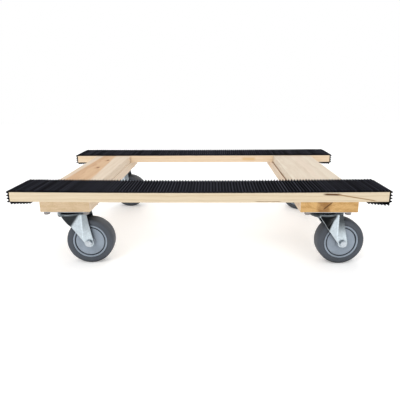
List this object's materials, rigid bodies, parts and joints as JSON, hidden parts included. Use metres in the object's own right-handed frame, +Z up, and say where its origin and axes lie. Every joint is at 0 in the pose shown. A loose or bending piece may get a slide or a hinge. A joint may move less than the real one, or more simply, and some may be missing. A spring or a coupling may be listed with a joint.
{
  "type": "furniture dolly",
  "caption": "Open wooden furniture dolly: two rubber-covered rails on two crossmembers, carried by swivel plate casters with grey wheels.",
  "frame": {"origin": "on the floor, at the middle of the overall box", "axes": "+X along the rails, -Y towards the pictured front, +Z up"},
  "size_m": [0.774, 0.4572, 0.1762],
  "materials": {
    "rail_wood": "planed bare softwood, pale, with fine straight grain",
    "filler_wood": "planed bare softwood with an orange heartwood band and small knots",
    "crossmember_wood": "sawn bare softwood, golden-brown end grain",
    "ribbed_rubber": "matt black corrugated rubber, folded over the rail ends",
    "zinc_plate": "bright zinc-plated pressed steel",
    "zinc_fork": "bright zinc-plated pressed steel, bluish",
    "race_steel": "greased steel",
    "bolt_steel": "zinc-plated steel",
    "bush_steel": "plain steel tube",
    "hub_plastic": "satin blue-grey moulded plastic",
    "grey_tyre": "smooth dark grey non-marking rubber"
  },
  "bodies": {
    "deck": {"front_rail": "rail_wood", "front_tread": "ribbed_rubber", "rear_rail": "rail_wood", "rear_tread": "ribbed_rubber", "left_crossmember": "crossmember_wood", "left_filler_board": "filler_wood", "right_crossmember": "crossmember_wood", "right_filler_board": "filler_wood", "front_left_top_plate": "zinc_plate", "front_left_kingpin": "bolt_steel", "front_left_mounting_bolt_1": "bolt_steel", "front_left_mounting_bolt_2": "bolt_steel", "front_left_mounting_bolt_3": "bolt_steel", "front_left_mounting_bolt_4": "bolt_steel", "rear_left_top_plate": "zinc_plate", "rear_left_kingpin": "bolt_steel", "rear_left_mounting_bolt_1": "bolt_steel", "rear_left_mounting_bolt_2": "bolt_steel", "rear_left_mounting_bolt_3": "bolt_steel", "rear_left_mounting_bolt_4": "bolt_steel", "front_right_top_plate": "zinc_plate", "front_right_kingpin": "bolt_steel", "front_right_mounting_bolt_1": "bolt_steel", "front_right_mounting_bolt_2": "bolt_steel", "front_right_mounting_bolt_3": "bolt_steel", "front_right_mounting_bolt_4": "bolt_steel", "rear_right_top_plate": "zinc_plate", "rear_right_kingpin": "bolt_steel", "rear_right_mounting_bolt_1": "bolt_steel", "rear_right_mounting_bolt_2": "bolt_steel", "rear_right_mounting_bolt_3": "bolt_steel", "rear_right_mounting_bolt_4": "bolt_steel"},
    "front_left_caster_fork": {"front_left_fork": "zinc_fork", "front_left_ball_race": "race_steel", "front_left_axle_bolt": "bolt_steel", "front_left_axle_nut": "bolt_steel", "front_left_axle_bush": "bush_steel"},
    "front_left_wheel": {"front_left_wheel_core": "hub_plastic", "front_left_tyre": "grey_tyre"},
    "rear_left_caster_fork": {"rear_left_fork": "zinc_fork", "rear_left_ball_race": "race_steel", "rear_left_axle_bolt": "bolt_steel", "rear_left_axle_nut": "bolt_steel", "rear_left_axle_bush": "bush_steel"},
    "rear_left_wheel": {"rear_left_wheel_core": "hub_plastic", "rear_left_tyre": "grey_tyre"},
    "front_right_caster_fork": {"front_right_fork": "zinc_fork", "front_right_ball_race": "race_steel", "front_right_axle_bolt": "bolt_steel", "front_right_axle_nut": "bolt_steel", "front_right_axle_bush": "bush_steel"},
    "front_right_wheel": {"front_right_wheel_core": "hub_plastic", "front_right_tyre": "grey_tyre"},
    "rear_right_caster_fork": {"rear_right_fork": "zinc_fork", "rear_right_ball_race": "race_steel", "rear_right_axle_bolt": "bolt_steel", "rear_right_axle_nut": "bolt_steel", "rear_right_axle_bush": "bush_steel"},
    "rear_right_wheel": {"rear_right_wheel_core": "hub_plastic", "rear_right_tyre": "grey_tyre"}
  },
  "joints": [
    {"name": "front_left_swivel", "type": "hinge", "parent": "deck", "child": "front_left_caster_fork", "pos_m": [-0.272, -0.187, 0.1286], "axis": [0, 0, 1], "continuous": true},
    {"name": "front_left_wheel_spin", "type": "hinge", "parent": "front_left_caster_fork", "child": "front_left_wheel", "pos_m": [-0.23433, -0.18549, 0.0508], "axis": [-0.0401, 0.9992, 0], "continuous": true},
    {"name": "rear_left_swivel", "type": "hinge", "parent": "deck", "child": "rear_left_caster_fork", "pos_m": [-0.272, 0.187, 0.1286], "axis": [0, 0, 1], "continuous": true},
    {"name": "rear_left_wheel_spin", "type": "hinge", "parent": "rear_left_caster_fork", "child": "rear_left_wheel", "pos_m": [-0.23435, 0.18503, 0.0508], "axis": [0.0523, 0.9986, 0], "continuous": true},
    {"name": "front_right_swivel", "type": "hinge", "parent": "deck", "child": "front_right_caster_fork", "pos_m": [0.2665, -0.187, 0.1286], "axis": [0, 0, 1], "continuous": true},
    {"name": "front_right_wheel_spin", "type": "hinge", "parent": "front_right_caster_fork", "child": "front_right_wheel", "pos_m": [0.30407, -0.18385, 0.0508], "axis": [-0.0837, 0.9965, 0], "continuous": true},
    {"name": "rear_right_swivel", "type": "hinge", "parent": "deck", "child": "rear_right_caster_fork", "pos_m": [0.2665, 0.187, 0.1286], "axis": [0, 0, 1], "continuous": true},
    {"name": "rear_right_wheel_spin", "type": "hinge", "parent": "rear_right_caster_fork", "child": "rear_right_wheel", "pos_m": [0.29221, 0.15943, 0.0508], "axis": [0.7314, 0.682, 0], "continuous": true}
  ]
}
